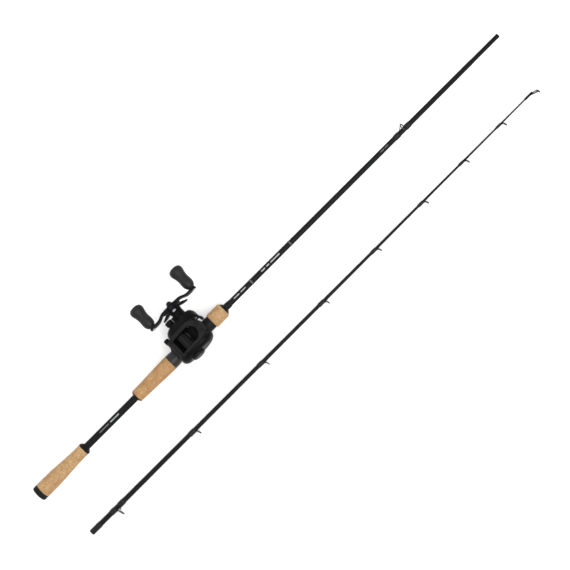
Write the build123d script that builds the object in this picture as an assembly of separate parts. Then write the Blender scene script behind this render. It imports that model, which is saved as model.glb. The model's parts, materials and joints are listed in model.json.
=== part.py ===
"""Two-piece baitcasting rod with a left-hand low-profile reel, in millimetres.

The butt section's axis is X and points to the tip. +Z goes up through the reel and +Y to the
handle. The origin is the centre of the butt cap's flat end. The tip section lies beside it.
"""
from build123d import *
from math import acos, cos, hypot, pi, radians, sin, sqrt, tan
import os

# ---- rod: butt section ----
BUTT_CAP_END = 10
REAR_GRIP_END = 110
REAR_CHECK_END = 117
FRONT_CHECK_START = 236
FRONT_GRIP_START = 240
FRONT_GRIP_END = 322
GRIP_RADIUS = 14.3
GRIP_WAIST_RADIUS = 10.9
PIN_START = 1057.5
PIN_END = 1118.5
PIN_RADIUS = 3.95
BUTT_BLANK_OUTSIDE = [(4, 6.25), (240, 6.25), (460, 5.45), (612, 5.05), (PIN_START - 6, 4.35),
                      (PIN_START, PIN_RADIUS), (PIN_END, PIN_RADIUS)]
BUTT_BLANK_WALL = 1.1
SLEEVE_START = 455.7
SLEEVE_END = 466
SLEEVE_RADIUS = 6.25
TRIM_RING_CENTRES = [518, 612]
TRIM_RING_WIDTH = 2.4
BUTT_GUIDE_X = 888
BUTT_GUIDE = {"height": 26.0, "ring": 5.6, "rear": 10.0, "front": 4.5}

# ---- rod: reel seat and foregrip ----
SEAT_FLAT = 7.6
SEAT_REAR_RADIUS = 13.0
SEAT_TUBE_START = 402
SEAT_TUBE_END = 449
SEAT_TUBE_RADIUS = 9.0
TRIGGER_BOTTOM = -31
HOOD_START = 404
HOOD_END = 412
HOOD_RADIUS = 12.6
NUT_END = 422
NUT_RADIUS = 12.3
NUT_SLEEVE_RADIUS = 10.6
FOREGRIP_END = 451
FOREGRIP_RADIUS = 14.1
RUNNING_GAP = 0.06

# ---- rod: tip section ----
TIP_Y = -108.2
TIP_Z = -25.5
TIP_START = 18
TIP_END = 1090
SOCKET_RADIUS = 4.0
SOCKET_DEPTH = 61
FERRULE_END = 40.5
FERRULE_RADIUS = 5.2
TIP_BLANK_OUTSIDE = [(TIP_START, 4.6), (90, 4.5), (290, 3.9), (563, 3.1), (830, 2.15), (TIP_END, 1.3)]
TIP_BLANK_WALL = 0.7
TIP_BORE_END = 760
STRIPPER_X = 80
STRIPPER = {"height": 17.9, "ring": 4.6, "rear": 4.0, "front": 5.0}
SINGLE_GUIDES = [(272, 12.9, 3.9), (439, 12.2, 3.5), (586.5, 11.0, 3.2), (714, 10.6, 3.0),
                 (829, 10.2, 3.0), (928.5, 9.8, 3.0), (1019, 9.5, 3.0)]
GUIDE_LEAN = 14
WRAP_LENGTH = 13
WRAP_THICKNESS = 0.75
TIP_TOP_X = 1099.5
TIP_TOP_RING = 3.0
TIP_TOP_HEIGHT = 9.5
TIP_TOP_BACK = 10.5

# ---- reel: axes and walls ----
SPOOL_X = 368.6
SPOOL_Z = 28
GEAR_MODULE = 0.7
MAIN_TEETH = 54
PINION_TEETH = 10
DRIVE_X = 390.7
DRIVE_Z = SPOOL_Z - sqrt((GEAR_MODULE * (MAIN_TEETH + PINION_TEETH) / 2) ** 2 - (DRIVE_X - SPOOL_X) ** 2)
WORM_DRIVE_TEETH = 22
WORM_TEETH = 14
WORM_X = 401
WORM_Z = DRIVE_Z - sqrt((GEAR_MODULE * (WORM_DRIVE_TEETH + WORM_TEETH) / 2) ** 2 - (WORM_X - DRIVE_X) ** 2)
GUIDE_ROD_X = 401
GUIDE_ROD_Z = 35.5
WALL_INSIDE = 17
WALL_OUTSIDE = 20
GEAR_COVER_FACE = 36.5
PALM_FACE = -30.2
SHELL_WALL = 1.8
COVER_SKIN = 2.0

# Side outlines of the reel, as X and Z.
OUTLINE_CENTRE = (374, 27)
FRAME_OUTLINE = [(338.6, 20), (341.5, 31), (351, 40.5), (366, 46.6), (383, 48), (398, 46.2),
                 (408.5, 39), (412, 28), (409, 17.5), (398, 13.9), (372, 9.2), (346, 10.5)]
PALM_OUTLINE = FRAME_OUTLINE[:8] + [(409.4, 17), (397, 7), (370, 3), (348, 8)]
PALM_SHORTENING = 1.8
GEAR_COVER_CENTRE = (384, 25)
GEAR_COVER_OUTLINE = [(349.5, 20), (352.5, 34), (363, 43.5), (381, 47.9), (399.5, 47.2), (410.8, 39.3),
                      (414.2, 25), (411.5, 11.5), (402, 3.6), (384, 1.6), (364, 4), (353, 9.5)]
NOSE_OUTLINE = [(347, 21), (390, 21), (397.5, 17), (403.5, 13.6), (407.8, 10.5), (410.2, 6), (411.2, 0),
                (410.2, -5.5), (407.4, -10.8), (403, -15.2), (397, -18.5), (388, -21), (347, -21)]
DECK_OUTLINE = [(347, 17.5), (345.5, 13), (342.5, 11.8), (340, 9.4), (338, 5.5), (337.2, 0), (338, -5.5),
                (340, -9.4), (342.5, -11.8), (345.5, -13), (347, -17.5)]

# ---- reel: moving pieces ----
SPOOL_RADIUS = 15.5
SPOOL_HALF_WIDTH = 16
SPOOL_SHAFT_RADIUS = 1.5
DRIVE_SHAFT_RADIUS = 3.5
WORM_RADIUS = 2.2
GUIDE_ROD_RADIUS = 1.2
BOSS_RADIUS = 10.9
BOSS_FACE = 49.4
STAR_RADIUS = 30
ARM_MIDDLE_Y = 63.9
ARM_END_Y = 58.4
ARM_THICKNESS = 4
KNOB_OFFSET = 47.9
KNOB_START = 61.8
KNOB_END = 108
POST_RADIUS = 2.0
DIAL_RADIUS = 12.2
TENSION_KNOB_RADIUS = 7.2
THUMB_BAR_X = 349.3
SCREW_X = 343.6
SCREW_Z = 21.5
THUMB_SCREW_RADIUS = 1.5
COVER_SCREWS = [(356, 14), (384, 42.6), (407.2, 29.5)]
COVER_SCREW_RADIUS = 1.2
LINE_EYE_Z = 26.5
LINE_EYE_RADIUS = 4.2
MAGNET_RADIUS = 1.6
MAGNET_CIRCLE = 9.4
MAGNET_BACK = -24.8

# ---- reel: places along the cross axis Y ----
DRIVE_BEARING_RADIUS = 5.5
ONE_WAY_START = 40
ONE_WAY_END = 48
ONE_WAY_RADIUS = 7.5
LEFT_BEARING_START = 37.9
LEFT_BEARING_END = 41
LEFT_BEARING_RADIUS = 4
RIGHT_BEARING_START = -24
RIGHT_BEARING_END = -21
RIGHT_BEARING_RADIUS = 5
SPOOL_BOSS_RADIUS = 5.6
MAIN_GEAR_START = 23.6
MAIN_GEAR_END = 27.6
WORM_GEAR_START = 20.6
WORM_GEAR_END = 22.4
PINION_NECK_RADIUS = 2.3


# ---- helpers ----
def turned(points):
    """Solid of revolution about X from a closed outline of (x, radius)."""
    return revolve(make_face(Polyline(*points, close=True)), Axis.X)


def tube(start, end, outer, inner=0):
    """Round tube or bar along X."""
    return turned([(start, inner), (end, inner), (end, outer), (start, outer)])


def to_y(solid, x, z):
    """Move a solid turned about X onto the cross axis through (x, z), with its x becoming y."""
    return Pos(x, 0, z) * Rot(0, 0, 90) * solid


def tube_y(x, z, start, end, outer, inner=0):
    """Round tube or bar along Y."""
    return to_y(tube(start, end, outer, inner), x, z)


def block(x, y, z):
    """Box from three (low, high) pairs."""
    size = (x[1] - x[0], y[1] - y[0], z[1] - z[0])
    return Pos(sum(x) / 2, sum(y) / 2, sum(z) / 2) * Box(*size)


def bar_between(start, end, radius):
    """Round wire between two points."""
    run = Vector(*end) - Vector(*start)
    return Solid.make_cylinder(radius, run.length, Plane(origin=start, z_dir=run))


def side_face(points, y):
    """Face in the XZ plane at the given y from closed (x, z) points."""
    return Pos(0, y, 0) * (Plane.XZ * make_face(Polyline(*points, close=True)))


def side_prism(points, y_start, y_end):
    """Straight-sided block, drawn in XZ and extruded along Y."""
    return extrude(side_face(points, y_start), amount=y_end - y_start, dir=(0, 1, 0))


def plan_prism(points, z_start, z_end):
    """Straight-sided outline drawn in XY and extruded along Z."""
    return Pos(0, 0, z_start) * extrude(make_face(Polyline(*points, close=True)), amount=z_end - z_start)


def smooth_face(points, centre, inset, y, shift=0):
    """Face in the XZ plane inside a smooth closed curve, moved inwards by inset and along X by shift."""
    moved = []
    for x, z in points:
        reach = hypot(x - centre[0], z - centre[1])
        scale = 1 - inset / reach
        moved.append((centre[0] + (x - centre[0]) * scale + shift, centre[1] + (z - centre[1]) * scale))
    return Pos(0, y, 0) * (Plane.XZ * make_face(Spline(*moved, periodic=True)))


def smooth_prism(points, centre, inset, y_start, y_end):
    """Smooth outline extruded along Y."""
    return extrude(smooth_face(points, centre, inset, y_start), amount=y_end - y_start, dir=(0, 1, 0))


def domed(points, centre, steps):
    """Smooth dome lofted through (y, inset, shift) steps."""
    return loft([smooth_face(points, centre, inset, y, shift) for y, inset, shift in steps])


def narrowed(points, y):
    """Outline of the reel at y: its front draws back towards the palm side."""
    draw = PALM_SHORTENING * max(0, (8 - y) / 28) ** 2
    stretch = 1 - draw / (FRAME_OUTLINE[7][0] - OUTLINE_CENTRE[0])
    return [(OUTLINE_CENTRE[0] + (x - OUTLINE_CENTRE[0]) * (stretch if x > OUTLINE_CENTRE[0] else 1), z)
            for x, z in points]


def crowned(inset, y_places):
    """Loft of the reel's main outline across its width."""
    return loft([smooth_face(narrowed(FRAME_OUTLINE, y), OUTLINE_CENTRE, inset, y) for y in y_places])


def radius_at(outside, x):
    """Radius of a tapered blank at x."""
    for (x0, r0), (x1, r1) in zip(outside, outside[1:]):
        if x0 <= x <= x1:
            return r0 + (r1 - r0) * (x - x0) / (x1 - x0)
    return outside[-1][1]


def blank_core(outside):
    """Solid outer shape of a blank."""
    start, end = outside[0][0], outside[-1][0]
    return turned([(start, 0)] + outside + [(end, 0)])


def gear(teeth, x, z, y_start, y_end, bore, tooth_angle):
    """Stub-tooth involute spur gear on a Y axis, with one tooth centred on tooth_angle."""
    pressure = radians(25)
    backlash = 0.12
    pitch = GEAR_MODULE * teeth / 2
    base = pitch * cos(pressure)
    tip = pitch + 0.7 * GEAR_MODULE
    root = pitch - 0.95 * GEAR_MODULE
    points = []
    for tooth in range(teeth):
        centre = radians(tooth_angle) + 2 * pi * tooth / teeth
        flank = []
        for step in range(6):
            radius = max(base, root) + (tip - max(base, root)) * step / 5
            roll = acos(min(1, base / radius))
            half = pi / (2 * teeth) - backlash / (2 * pitch) + tan(pressure) - pressure - tan(roll) + roll
            flank.append((radius, half))
        if root < base:
            flank.insert(0, (root, flank[0][1]))
        for radius, half in flank:
            points.append((radius * cos(centre - half), radius * sin(centre - half)))
        for radius, half in reversed(flank):
            points.append((radius * cos(centre + half), radius * sin(centre + half)))
    placed = [(x + a, z + b) for a, b in points]
    return side_prism(placed, y_start, y_end) - tube_y(x, z, y_start - 1, y_end + 1, bore)


def direction(x0, z0, x1, z1):
    """Angle in degrees of the line from one axis to another in the XZ plane."""
    turn = acos((x1 - x0) / hypot(x1 - x0, z1 - z0)) * 180 / pi
    return turn if z1 >= z0 else -turn


def scalloped(solid, x, z, y_start, y_end, radius, count, cut):
    """Round grip with a ring of shallow grooves cut along Y."""
    for step in range(count):
        angle = 2 * pi * step / count
        solid -= tube_y(x + radius * cos(angle), z + radius * sin(angle), y_start, y_end, cut)
    return solid


# ---- rod: butt section ----
def butt_blank():
    core = blank_core(BUTT_BLANK_OUTSIDE)
    inside = [(x, r - BUTT_BLANK_WALL) for x, r in BUTT_BLANK_OUTSIDE]
    inside[-1] = (PIN_END + 1, PIN_RADIUS - BUTT_BLANK_WALL)
    return core - turned([(0, 0), (0, 5.15)] + inside + [(PIN_END + 1, 0)])


def butt_cap():
    outline = make_face([Line((0, 0), (0, 11.9)), RadiusArc((0, 11.9), (2, GRIP_RADIUS), 2),
                         Line((2, GRIP_RADIUS), (BUTT_CAP_END, GRIP_RADIUS)),
                         Line((BUTT_CAP_END, GRIP_RADIUS), (BUTT_CAP_END, 0)),
                         Line((BUTT_CAP_END, 0), (0, 0))])
    return revolve(outline, Axis.X) - blank_core(BUTT_BLANK_OUTSIDE)


def rear_grip():
    waist = (REAR_GRIP_END - 12, GRIP_WAIST_RADIUS)
    front = (REAR_GRIP_END, GRIP_WAIST_RADIUS + 0.4)
    edge = Spline((BUTT_CAP_END, GRIP_RADIUS), (45, 13.8), (75, 11.9), waist, front,
                  tangents=[(1, 0), (1, 0.1)])
    ends = [Line(front, (REAR_GRIP_END, 0)), Line((REAR_GRIP_END, 0), (BUTT_CAP_END, 0)),
            Line((BUTT_CAP_END, 0), (BUTT_CAP_END, GRIP_RADIUS))]
    return revolve(make_face([edge] + ends), Axis.X) - blank_core(BUTT_BLANK_OUTSIDE)


def rear_grip_check():
    cone = turned([(REAR_GRIP_END, 0), (REAR_GRIP_END, 11.4), (REAR_GRIP_END + 3, 11.2),
                   (REAR_CHECK_END, 7.1), (REAR_CHECK_END, 0)])
    return cone - blank_core(BUTT_BLANK_OUTSIDE)


def front_grip_check():
    cone = turned([(FRONT_CHECK_START, 0), (FRONT_CHECK_START, 7.1), (FRONT_GRIP_START - 1, 11.5),
                   (FRONT_GRIP_START, 11.6), (FRONT_GRIP_START, 0)])
    return cone - blank_core(BUTT_BLANK_OUTSIDE)


def front_grip():
    start = (FRONT_GRIP_START, 11.7)
    end = (FRONT_GRIP_END, 13.9)
    edge = Spline(start, (275, 12.6), (308, 13.7), end, tangents=[(1, 0), (1, 0)])
    ends = [Line(end, (FRONT_GRIP_END, 0)), Line((FRONT_GRIP_END, 0), (FRONT_GRIP_START, 0)),
            Line((FRONT_GRIP_START, 0), start)]
    return revolve(make_face([edge] + ends), Axis.X) - blank_core(BUTT_BLANK_OUTSIDE)


def trigger():
    """Finger hook under the seat, leaning forwards."""
    toe = (362.5, TRIGGER_BOTTOM)
    sides = [Spline((377, -6), (369.5, -14), (366.8, -23), (366.2, -28), toe,
                    tangents=[(-1, -0.4), (-1, 0)]),
             Spline(toe, (358.6, -27.5), (356.5, -19), (346, -6), tangents=[(-1, 0), (-1, 0.9)]),
             Line((346, -6), (377, -6))]
    hook = extrude(Pos(0, 4.2, 0) * (Plane.XZ * make_face(sides)), amount=8.4, dir=(0, -1, 0))
    return fillet(hook.edges().filter_by(Axis.Y, reverse=True).group_by(Axis.Z)[:-1], 1.4)


def reel_seat():
    ring = turned([(FRONT_GRIP_END, 0), (FRONT_GRIP_END, 13.8), (FRONT_GRIP_END + 5, 13.8),
                   (337, SEAT_REAR_RADIUS), (338.2, SEAT_REAR_RADIUS - 1), (338.2, 0)])
    saddle = turned([(338.2, 0), (338.2, 11.7), (352, 11.9), (385, 11.2), (SEAT_TUBE_START, 10.2),
                     (SEAT_TUBE_START, 0)])
    saddle -= block((338.2, 410), (-20, 20), (SEAT_FLAT, 30))
    thread = tube(SEAT_TUBE_START, SEAT_TUBE_END, SEAT_TUBE_RADIUS)
    thread -= block((SEAT_TUBE_START, 419), (-10, 10), (SEAT_FLAT, 20))
    pocket = block((334.6, 339), (-6.2, 6.2), (SEAT_FLAT - 0.2, 9.9))
    return ring + saddle + thread + trigger() - pocket - blank_core(BUTT_BLANK_OUTSIDE)


def moving_hood():
    ring = turned([(HOOD_START, 0), (HOOD_START, HOOD_RADIUS - 1), (HOOD_START + 1.2, HOOD_RADIUS),
                   (HOOD_END, HOOD_RADIUS), (HOOD_END, 0)])
    ring -= tube(HOOD_START - 1, HOOD_END + 1, SEAT_TUBE_RADIUS + RUNNING_GAP)
    return ring - block((HOOD_START - 1, HOOD_START + 4.4), (-5.8, 5.8), (SEAT_FLAT - 0.2, 9.9))


def lock_nut():
    start = HOOD_END + 0.1
    nut = turned([(start, 0), (start, NUT_RADIUS), (NUT_END - 0.8, NUT_RADIUS), (NUT_END, NUT_RADIUS - 0.8),
                  (NUT_END, NUT_SLEEVE_RADIUS), (FOREGRIP_END, NUT_SLEEVE_RADIUS), (FOREGRIP_END, 0)])
    nut -= tube(start - 1, FOREGRIP_END + 1, SEAT_TUBE_RADIUS + RUNNING_GAP)
    for step in range(18):
        groove = Pos(start + 5, NUT_RADIUS + 0.5, 0) * Box(6, 1.6, 1.1)
        nut -= Rot(step * 20, 0, 0) * groove
    return nut


def foregrip_cork():
    chamfer_start = FOREGRIP_END - 2.6
    return turned([(NUT_END + 0.02, NUT_SLEEVE_RADIUS), (NUT_END + 0.02, FOREGRIP_RADIUS - 0.6),
                   (NUT_END + 0.8, FOREGRIP_RADIUS), (chamfer_start, FOREGRIP_RADIUS),
                   (FOREGRIP_END, FOREGRIP_RADIUS - 2.4), (FOREGRIP_END, NUT_SLEEVE_RADIUS)])


def foregrip_check():
    bore = SLEEVE_RADIUS + 0.32
    return turned([(FOREGRIP_END, bore), (FOREGRIP_END, 11.2), (FOREGRIP_END + 0.8, 11.2),
                   (SLEEVE_START - 0.1, bore + 0.5), (SLEEVE_START - 0.1, bore)])


def blank_sleeve():
    ring = turned([(SLEEVE_START, 0), (SLEEVE_START, SLEEVE_RADIUS), (SLEEVE_END - 1.5, SLEEVE_RADIUS),
                   (SLEEVE_END, SLEEVE_RADIUS - 0.8), (SLEEVE_END, 0)])
    return ring - blank_core(BUTT_BLANK_OUTSIDE)


def trim_rings():
    rings = []
    for x in TRIM_RING_CENTRES:
        radius = radius_at(BUTT_BLANK_OUTSIDE, x) + 0.7
        half = TRIM_RING_WIDTH / 2
        ring = turned([(x - half, 0), (x - half, radius - 0.4), (x - half + 0.4, radius),
                       (x + half - 0.4, radius), (x + half, radius - 0.4), (x + half, 0)])
        rings.append(ring - blank_core(BUTT_BLANK_OUTSIDE))
    return Compound(children=rings)


# ---- line guides, drawn with the blank along X and the ring above it along Z ----
def ring_place(height, ring_outer):
    """Centre height of a leaning ring whose far edge is at the given height."""
    return height - ring_outer * cos(radians(GUIDE_LEAN))


def guide_ring(height, outer):
    """Ceramic ring, its bore along the leaning axis."""
    half = 0.9
    inner = outer - 1.15
    section = [(-half, outer), (-half, inner + 0.4), (-half + 0.4, inner), (half - 0.4, inner),
               (half, inner + 0.4), (half, outer)]
    return Pos(0, 0, ring_place(height, outer + 0.9)) * Rot(0, GUIDE_LEAN, 0) * turned(section)


def ring_holder(height, ring_radius):
    """Metal loop that holds the ceramic ring."""
    loop = tube(-0.55, 0.55, ring_radius + 0.9, ring_radius)
    return Pos(0, 0, ring_place(height, ring_radius + 0.9)) * Rot(0, GUIDE_LEAN, 0) * loop


def foot_plate(start, end, radius):
    """Flat guide foot lying on the blank."""
    return block((start, end), (-1.1, 1.1), (radius - 0.3, radius + 0.35))


def single_foot_frame(height, ring_radius, blank_radius):
    """Loop on one forward-leaning leg that runs back into a foot."""
    centre = ring_place(height, ring_radius + 0.9)
    edge = ring_radius + 0.45
    foot_top = blank_radius + 0.2
    frame = ring_holder(height, ring_radius)
    frame += foot_plate(-WRAP_LENGTH - 3, -3.4, blank_radius)
    for side in (-1, 1):
        low = (-3.8, side * 0.7, foot_top)
        high = (-0.2 - 0.2 * edge, side * edge * 0.6, centre - edge * 0.8)
        frame += bar_between(low, high, 0.55)
    return frame


def double_foot_frame(height, ring_radius, blank_radius, rear, front):
    """Loop on two rear legs and one front leg, each running into its own foot."""
    centre = ring_place(height, ring_radius + 0.9)
    edge = ring_radius + 0.45
    foot_top = blank_radius + 0.2
    frame = ring_holder(height, ring_radius)
    frame += foot_plate(-rear - WRAP_LENGTH + 2, -rear + 1, blank_radius)
    frame += foot_plate(front - 1, front + WRAP_LENGTH - 2, blank_radius)
    for side in (-1, 1):
        low = (-rear + 0.6, side * 0.7, foot_top)
        high = (0.1, side * edge * 0.92, centre - 0.4 * edge)
        frame += bar_between(low, high, 0.6)
    low_edge = (-edge * sin(radians(GUIDE_LEAN)), 0, centre - edge * cos(radians(GUIDE_LEAN)))
    frame += bar_between((front - 0.6, 0, foot_top), low_edge, 0.65)
    return frame


def wrap(outside, start, end):
    """Lacquered thread wrap with tapered ends around a blank."""
    taper = 2.2
    outer = radius_at(outside, (start + end) / 2) + WRAP_THICKNESS
    low = outer - WRAP_THICKNESS + 0.15
    return turned([(start, 0), (start, low), (start + taper, outer), (end - taper, outer),
                   (end, low), (end, 0)])


def on_butt(solid, x):
    return Pos(x, 0, 0) * solid


def on_tip(solid, x):
    """Place a guide on the tip section, turned to point along -Y."""
    return Pos(x, TIP_Y, TIP_Z) * Rot(90, 0, 0) * solid


def double_guide_frame(guide, outside, x):
    radius = radius_at(outside, x)
    return double_foot_frame(guide["height"], guide["ring"], radius, guide["rear"], guide["front"])


def guide_wraps(guide, x, outside):
    """The two wraps of a double-foot guide, still solid inside."""
    rear = wrap(outside, x - guide["rear"] - WRAP_LENGTH + 1.5, x - guide["rear"] + 0.5)
    front = wrap(outside, x + guide["front"] - 0.5, x + guide["front"] + WRAP_LENGTH - 1.5)
    return [rear, front]


def butt_guide_frame():
    frame = on_butt(double_guide_frame(BUTT_GUIDE, BUTT_BLANK_OUTSIDE, BUTT_GUIDE_X), BUTT_GUIDE_X)
    return frame - blank_core(BUTT_BLANK_OUTSIDE) - butt_guide_ring()


def butt_guide_ring():
    return on_butt(guide_ring(BUTT_GUIDE["height"], BUTT_GUIDE["ring"]), BUTT_GUIDE_X)


def butt_guide_wraps():
    frame = butt_guide_frame()
    core = blank_core(BUTT_BLANK_OUTSIDE)
    wraps = guide_wraps(BUTT_GUIDE, BUTT_GUIDE_X, BUTT_BLANK_OUTSIDE)
    return Compound(children=[piece - core - frame for piece in wraps])


# ---- rod: tip section ----
def tip_core():
    return Pos(0, TIP_Y, TIP_Z) * blank_core(TIP_BLANK_OUTSIDE)


def tip_blank():
    socket_end = TIP_START + SOCKET_DEPTH
    inside = [(TIP_START - 1, SOCKET_RADIUS), (socket_end, SOCKET_RADIUS), (socket_end, 3.7)]
    inside += [(x, r - TIP_BLANK_WALL) for x, r in TIP_BLANK_OUTSIDE[2:4]]
    bore_end_radius = radius_at(TIP_BLANK_OUTSIDE, TIP_BORE_END) - TIP_BLANK_WALL
    inside += [(TIP_BORE_END, bore_end_radius), (TIP_BORE_END, 0)]
    bore = turned([(TIP_START - 1, 0)] + inside)
    return Pos(0, TIP_Y, TIP_Z) * (blank_core(TIP_BLANK_OUTSIDE) - bore)


def ferrule_sleeve():
    ring = turned([(TIP_START, 0), (TIP_START, FERRULE_RADIUS - 0.3), (TIP_START + 0.5, FERRULE_RADIUS),
                   (FERRULE_END - 1.5, FERRULE_RADIUS), (FERRULE_END, FERRULE_RADIUS - 0.4),
                   (FERRULE_END, 0)])
    return Pos(0, TIP_Y, TIP_Z) * (ring - blank_core(TIP_BLANK_OUTSIDE))


def stripper_guide_frame():
    frame = on_tip(double_guide_frame(STRIPPER, TIP_BLANK_OUTSIDE, STRIPPER_X), STRIPPER_X)
    return frame - tip_core() - stripper_guide_ring()


def stripper_guide_ring():
    return on_tip(guide_ring(STRIPPER["height"], STRIPPER["ring"]), STRIPPER_X)


def single_frames():
    """The seven single-foot guide frames, one solid each."""
    frames = []
    for x, height, ring in SINGLE_GUIDES:
        radius = radius_at(TIP_BLANK_OUTSIDE, x - WRAP_LENGTH / 2)
        frames.append(on_tip(single_foot_frame(height, ring, radius), x) - tip_core())
    return frames


def single_foot_frames():
    return Compound(children=single_frames())


def single_foot_rings():
    return Compound(children=[on_tip(guide_ring(height, ring), x) for x, height, ring in SINGLE_GUIDES])


def tip_guide_wraps():
    """Every thread wrap of the tip section."""
    wraps = guide_wraps(STRIPPER, STRIPPER_X, TIP_BLANK_OUTSIDE)
    frames = [stripper_guide_frame()] * 2 + single_frames()
    wraps += [wrap(TIP_BLANK_OUTSIDE, x - WRAP_LENGTH - 3.5, x - 3.4) for x, _, _ in SINGLE_GUIDES]
    core = tip_core()
    placed = [Pos(0, TIP_Y, TIP_Z) * piece for piece in wraps]
    return Compound(children=[piece - core - frame for piece, frame in zip(placed, frames)])


def tip_top_frame():
    """Tube over the end of the blank, with two legs up to a loop."""
    frame = ring_holder(TIP_TOP_HEIGHT, TIP_TOP_RING)
    centre = ring_place(TIP_TOP_HEIGHT, TIP_TOP_RING + 0.9)
    edge = TIP_TOP_RING + 0.45
    end = TIP_END - TIP_TOP_X + 0.8
    frame += tube(TIP_END - 17 - TIP_TOP_X, end, 2.0)
    for side in (-1, 1):
        low = (-TIP_TOP_BACK - 3, side * 1.3, 1.3)
        high = (0.2, side * edge * 0.9, centre + 0.1 * edge)
        frame += bar_between(low, high, 0.55)
    low_edge = (-0.9, 0, centre - edge * 0.97)
    frame += bar_between((end - 1, 0, 0.6), low_edge, 0.75)
    return on_tip(frame, TIP_TOP_X) - tip_core() - tip_top_ring()


def tip_top_ring():
    return on_tip(guide_ring(TIP_TOP_HEIGHT, TIP_TOP_RING), TIP_TOP_X)


# ---- reel: frame and covers ----
def reel_foot():
    sole = SEAT_FLAT + 0.05
    plate = side_prism([(335, sole), (407.6, sole), (407.6, 8.9), (400, 9.6), (343, 9.6), (335, 8.9)],
                       -8.5, 8.5)
    toes = Polyline((334, -5), (341, -5.6), (348, -8.5), (392, -8.5), (401, -5.5), (409, -4.8), (409, 4.8),
                    (401, 5.5), (392, 8.5), (348, 8.5), (341, 5.6), (334, 5), close=True)
    return plate & (Pos(0, 0, 5) * extrude(make_face(toes), amount=10))


def reel_frame():
    centre = OUTLINE_CENTRE
    inset = COVER_SKIN + 0.1
    frame = smooth_prism(FRAME_OUTLINE, centre, inset, WALL_INSIDE, WALL_OUTSIDE)
    gear_plate = smooth_prism(GEAR_COVER_OUTLINE, GEAR_COVER_CENTRE, 0.2, WALL_OUTSIDE - 1.6, WALL_OUTSIDE)
    frame += gear_plate & block((330, 420), (0, 30), (0, 34.5))
    palm = smooth_prism(narrowed(FRAME_OUTLINE, -WALL_OUTSIDE), centre, inset, -WALL_OUTSIDE, -WALL_INSIDE)
    palm -= tube_y(SPOOL_X, SPOOL_Z, -WALL_OUTSIDE - 1, -WALL_INSIDE + 1, SPOOL_RADIUS + 0.7)
    frame += palm
    palm_outline = narrowed(FRAME_OUTLINE, -WALL_INSIDE)
    palm_nose = smooth_prism(palm_outline, centre, 0.2, -WALL_OUTSIDE, -WALL_INSIDE)
    frame += palm_nose & block((395, 420), (-WALL_OUTSIDE - 1, 0), (0, 34.5))
    frame += block((345, 398), (-WALL_INSIDE - 1, WALL_INSIDE + 1), (9.6, 11.7))
    deck = side_prism([(340.6, 12), (347, 11), (347, 14), (343, 27), (345.9, 31), (345.9, 37), (343, 33.6),
                       (340.6, 29)], -WALL_INSIDE - 1, WALL_INSIDE + 1)
    frame += deck & smooth_prism(FRAME_OUTLINE, centre, 0.2, -WALL_INSIDE - 1, WALL_INSIDE + 1)
    thumb_rest = side_prism([(336, 26.5), (346, 25), (346, 30.8), (343, 31.2), (336, 29.2)], -18, 18)
    frame += thumb_rest & plan_prism(DECK_OUTLINE, 20, 35)
    lug = side_prism([(407, 21), (412.8, 21), (414.8, 8), (415.8, -2), (412.4, -2), (410.6, 8)],
                     17.2, WALL_OUTSIDE)
    frame += lug + side_prism([(410.9, 7), (414.9, 7), (415.8, -2), (412.4, -2)], 13.4, WALL_INSIDE + 1)
    frame += side_prism([(392, 9.6), (400, 13.6), (397.5, 13.9), (389, 11)],
                        -WALL_INSIDE - 1, WALL_INSIDE + 1)
    for low, high in ((-WALL_OUTSIDE - 1, -WALL_INSIDE + 1), (WALL_INSIDE - 1, WALL_OUTSIDE + 1)):
        frame -= block((THUMB_BAR_X - 1.9, THUMB_BAR_X + 1.9), (low, high), (28, 35.6))
    frame -= tube_y(WORM_X, WORM_Z, -WALL_OUTSIDE - 1, WALL_OUTSIDE + 1, WORM_RADIUS + RUNNING_GAP)
    frame -= tube_y(GUIDE_ROD_X, GUIDE_ROD_Z, -WALL_OUTSIDE - 1, WALL_OUTSIDE + 1, GUIDE_ROD_RADIUS)
    frame -= tube_y(SPOOL_X, SPOOL_Z, WALL_INSIDE - 1, WALL_OUTSIDE + 1, 5)
    frame -= tube_y(DRIVE_X, DRIVE_Z, WALL_INSIDE - 1, WALL_OUTSIDE + 1, DRIVE_BEARING_RADIUS)
    frame -= tube_y(SCREW_X, SCREW_Z, -WALL_OUTSIDE - 1, WALL_OUTSIDE + 1, THUMB_SCREW_RADIUS + RUNNING_GAP)
    for x, z in COVER_SCREWS:
        frame -= tube_y(x, z, WALL_INSIDE - 1, WALL_OUTSIDE + 1, COVER_SCREW_RADIUS)
    return frame


def side_plate_screws():
    screws = []
    for x, z in COVER_SCREWS:
        head = tube_y(x, z, WALL_INSIDE - 1.2, WALL_INSIDE, 2.1)
        slot = block((x - 2.5, x + 2.5), (WALL_INSIDE - 1.3, WALL_INSIDE - 0.7), (z - 0.3, z + 0.3))
        screws.append(head + tube_y(x, z, WALL_INSIDE, WALL_OUTSIDE + 2.5, COVER_SCREW_RADIUS) - slot)
    return Compound(children=screws)


def front_hood():
    """Top cover: two arms beside the spool joined by a rounded hood over the line window."""
    skin = crowned(0, (-WALL_OUTSIDE, -10, 0, 10, WALL_OUTSIDE))
    skin -= crowned(COVER_SKIN, (-WALL_OUTSIDE - 1, -10, 0, 10, WALL_OUTSIDE + 1))
    skin &= side_prism([(347.5, 38), (360, 38), (400, 36.5), (416, 35), (416, 60), (347.5, 60)], -30, 30)
    skin &= plan_prism(NOSE_OUTLINE, 30, 60)
    mouth = [Line((345, 13.2), (345, -15.5)), Line((345, -15.5), (387, -15.5)),
             ThreePointArc((387, -15.5), (396.8, -1), (387, 13.2)),
             Line((387, 13.2), (345, 13.2))]
    skin -= extrude(make_face(mouth), amount=60)
    return skin


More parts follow.
